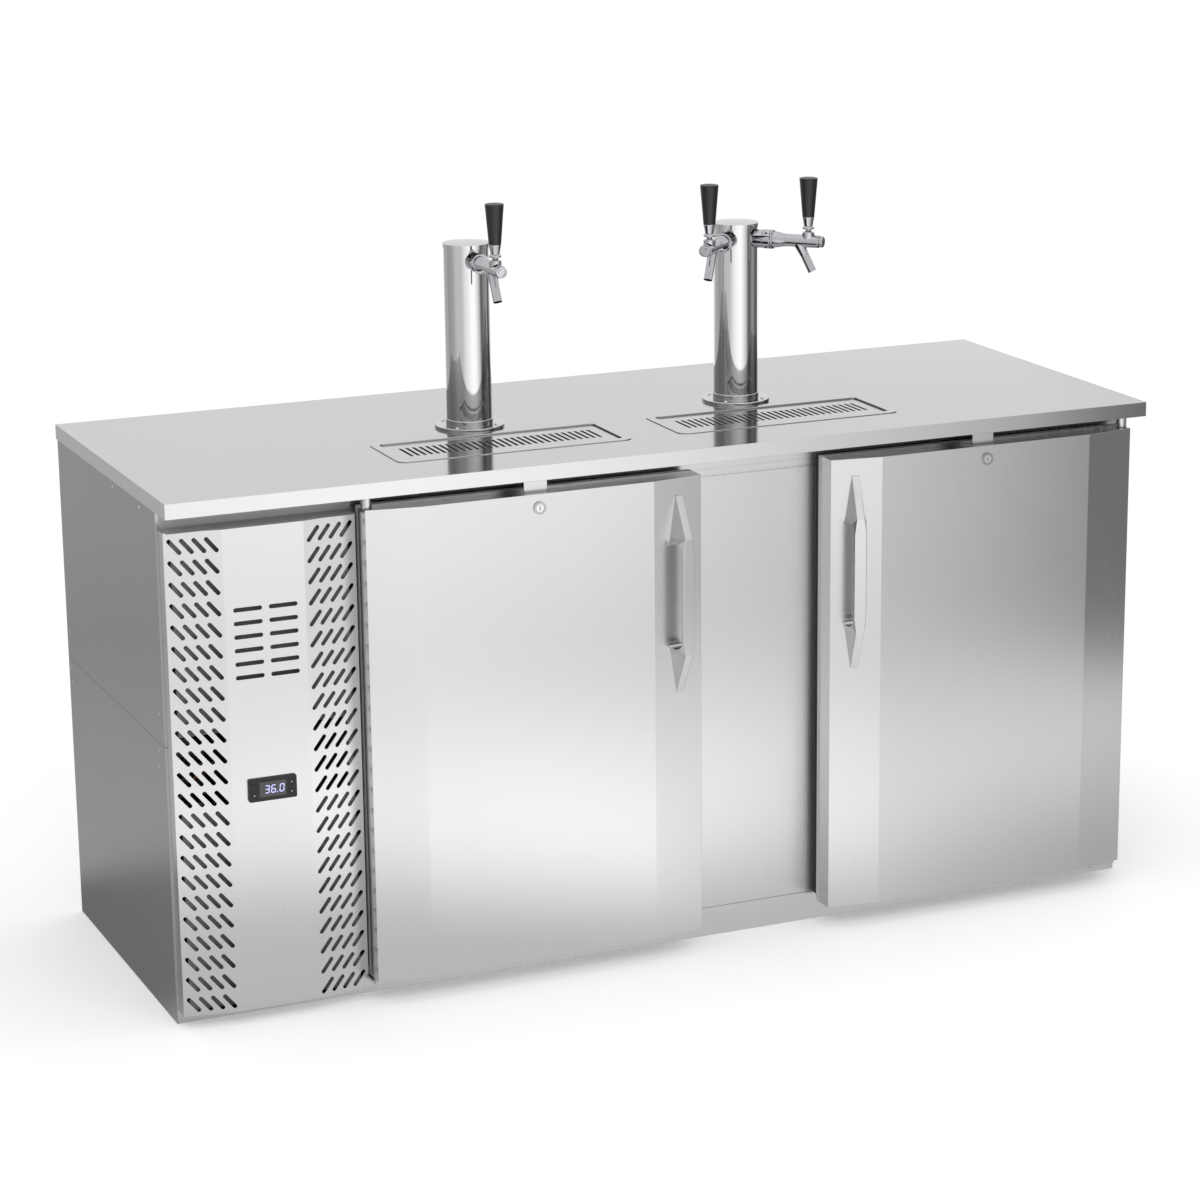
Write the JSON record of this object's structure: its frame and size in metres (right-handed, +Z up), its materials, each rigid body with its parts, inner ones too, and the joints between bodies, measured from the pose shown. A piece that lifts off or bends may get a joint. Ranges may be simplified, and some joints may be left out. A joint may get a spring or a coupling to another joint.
{
  "type": "draft beer cooler",
  "caption": "Low stainless keg cooler with hinged faceted doors, slotted machine grille, recessed drip trays and column towers with pull-lever faucets on the worktop.",
  "frame": {"origin": "on the floor plane, under the middle of the worktop", "axes": "+X to the viewer's right along the width, +Y to the back, +Z up; the doors face -Y"},
  "size_m": [1.753, 0.6852, 1.266],
  "materials": {
    "brushed_stainless": "vertical brushed grain, satin",
    "side_steel": "dull rolled finish",
    "liner_white": "smooth white enamel",
    "polished_stainless": "mirror polish",
    "grey_plastic": "smooth moulded",
    "black_rubber": "matt",
    "black_handle": "glossy moulded",
    "black_plastic": "fine matt moulded",
    "display": "tinted window",
    "black_enamel": "semi-gloss enamel",
    "aluminium_fins": "bare fins",
    "copper_pipe": "bare copper"
  },
  "bodies": {
    "cabinet": {"base_pan": "brushed_stainless", "front_top_rail": "brushed_stainless", "centre_mullion": "brushed_stainless", "front_grille": "brushed_stainless", "worktop": "brushed_stainless", "drip_trays": "brushed_stainless", "lock_strikes": "brushed_stainless", "hinge_brackets": "brushed_stainless", "side_panel_upper": "side_steel", "side_panel_lower": "side_steel", "insulated_back": "side_steel", "insulated_right_wall": "side_steel", "insulated_partition": "side_steel", "rear_vent_panel": "side_steel", "insulated_floor": "liner_white", "insulated_ceiling": "liner_white", "worktop_core": "liner_white", "evaporator_cover": "liner_white", "tower_bases": "polished_stainless", "tower_columns": "polished_stainless", "tower_caps": "polished_stainless", "tower_screws": "polished_stainless", "side_panel_screws": "polished_stainless", "faucet_shanks": "polished_stainless", "coupling_nuts": "polished_stainless", "faucet_bodies": "polished_stainless", "controller_housing": "black_plastic", "cord_gland": "black_plastic", "display_window": "display", "compressor": "black_enamel", "condenser_shroud": "black_enamel", "condenser_coil": "aluminium_fins", "evaporator_coil": "aluminium_fins", "refrigerant_lines": "copper_pipe"},
    "door_left": {"door_left_skin": "brushed_stainless", "door_left_liner": "grey_plastic", "door_left_gasket": "black_rubber", "door_left_handle": "brushed_stainless", "lock_left_housing": "polished_stainless"},
    "door_right": {"door_right_skin": "brushed_stainless", "door_right_liner": "grey_plastic", "door_right_gasket": "black_rubber", "door_right_handle": "brushed_stainless", "lock_right_housing": "polished_stainless"},
    "lock_left": {"lock_left_plug": "polished_stainless"},
    "lock_right": {"lock_right_plug": "polished_stainless"},
    "tap_left": {"tap_lever_left": "polished_stainless", "tap_handle_left": "black_handle"},
    "tap_centre": {"tap_lever_centre": "polished_stainless", "tap_handle_centre": "black_handle"},
    "tap_right": {"tap_lever_right": "polished_stainless", "tap_handle_right": "black_handle"},
    "grate_left": {"drip_grate_left": "brushed_stainless"},
    "grate_right": {"drip_grate_right": "brushed_stainless"},
    "condenser_fan": {"condenser_fan": "black_plastic"},
    "evaporator_fan": {"evaporator_fan": "black_plastic"},
    "key_set": {"key_set": "black_plastic"},
    "key_lamp": {"key_lamp": "black_plastic"},
    "key_up": {"key_up": "black_plastic"},
    "key_down": {"key_down": "black_plastic"}
  },
  "joints": [
    {"name": "door_left_swing", "type": "hinge", "parent": "cabinet", "child": "door_left", "pos_m": [-0.5464, -0.3073, 0.435], "axis": [0, 0, -1], "range_deg": [0, 110]},
    {"name": "door_right_swing", "type": "hinge", "parent": "cabinet", "child": "door_right", "pos_m": [0.8368, -0.3073, 0.435], "axis": [0, 0, 1], "range_deg": [0, 110]},
    {"name": "lock_left_turn", "type": "hinge", "parent": "door_left", "child": "lock_left", "pos_m": [-0.2644, -0.3376, 0.806], "axis": [0, -1, 0], "range_deg": [0, 90]},
    {"name": "lock_right_turn", "type": "hinge", "parent": "door_right", "child": "lock_right", "pos_m": [0.5548, -0.3376, 0.806], "axis": [0, 1, 0], "range_deg": [0, 90]},
    {"name": "tap_left_pull", "type": "hinge", "parent": "cabinet", "child": "tap_left", "pos_m": [-0.248, -0.1226, 1.168], "axis": [1, 0, 0], "range_deg": [0, 28]},
    {"name": "tap_centre_pull", "type": "hinge", "parent": "cabinet", "child": "tap_centre", "pos_m": [0.15494, -0.08406, 1.168], "axis": [0.7071, -0.7071, 0], "range_deg": [0, 28]},
    {"name": "tap_right_pull", "type": "hinge", "parent": "cabinet", "child": "tap_right", "pos_m": [0.34106, -0.08406, 1.168], "axis": [0.7071, 0.7071, 0], "range_deg": [0, 28]},
    {"name": "grate_left_lift", "type": "slide", "parent": "cabinet", "child": "grate_left", "axis": [0, 0, 1], "range_m": [0, 0.05]},
    {"name": "grate_right_lift", "type": "slide", "parent": "cabinet", "child": "grate_right", "axis": [0, 0, 1], "range_m": [0, 0.05]},
    {"name": "condenser_fan_spin", "type": "hinge", "parent": "cabinet", "child": "condenser_fan", "pos_m": [-0.7237, -0.151, 0.1612], "axis": [0, 1, 0], "continuous": true},
    {"name": "evaporator_fan_spin", "type": "hinge", "parent": "cabinet", "child": "evaporator_fan", "pos_m": [-0.3144, 0.178, 0.6789], "axis": [0, 1, 0], "continuous": true},
    {"name": "key_set_press", "type": "slide", "parent": "cabinet", "child": "key_set", "axis": [0, 1, 0], "range_m": [0, 0.0005], "stiffness_N_per_m": 500},
    {"name": "key_lamp_press", "type": "slide", "parent": "cabinet", "child": "key_lamp", "axis": [0, 1, 0], "range_m": [0, 0.0005], "stiffness_N_per_m": 500},
    {"name": "key_up_press", "type": "slide", "parent": "cabinet", "child": "key_up", "axis": [0, 1, 0], "range_m": [0, 0.0005], "stiffness_N_per_m": 500},
    {"name": "key_down_press", "type": "slide", "parent": "cabinet", "child": "key_down", "axis": [0, 1, 0], "range_m": [0, 0.0005], "stiffness_N_per_m": 500}
  ]
}
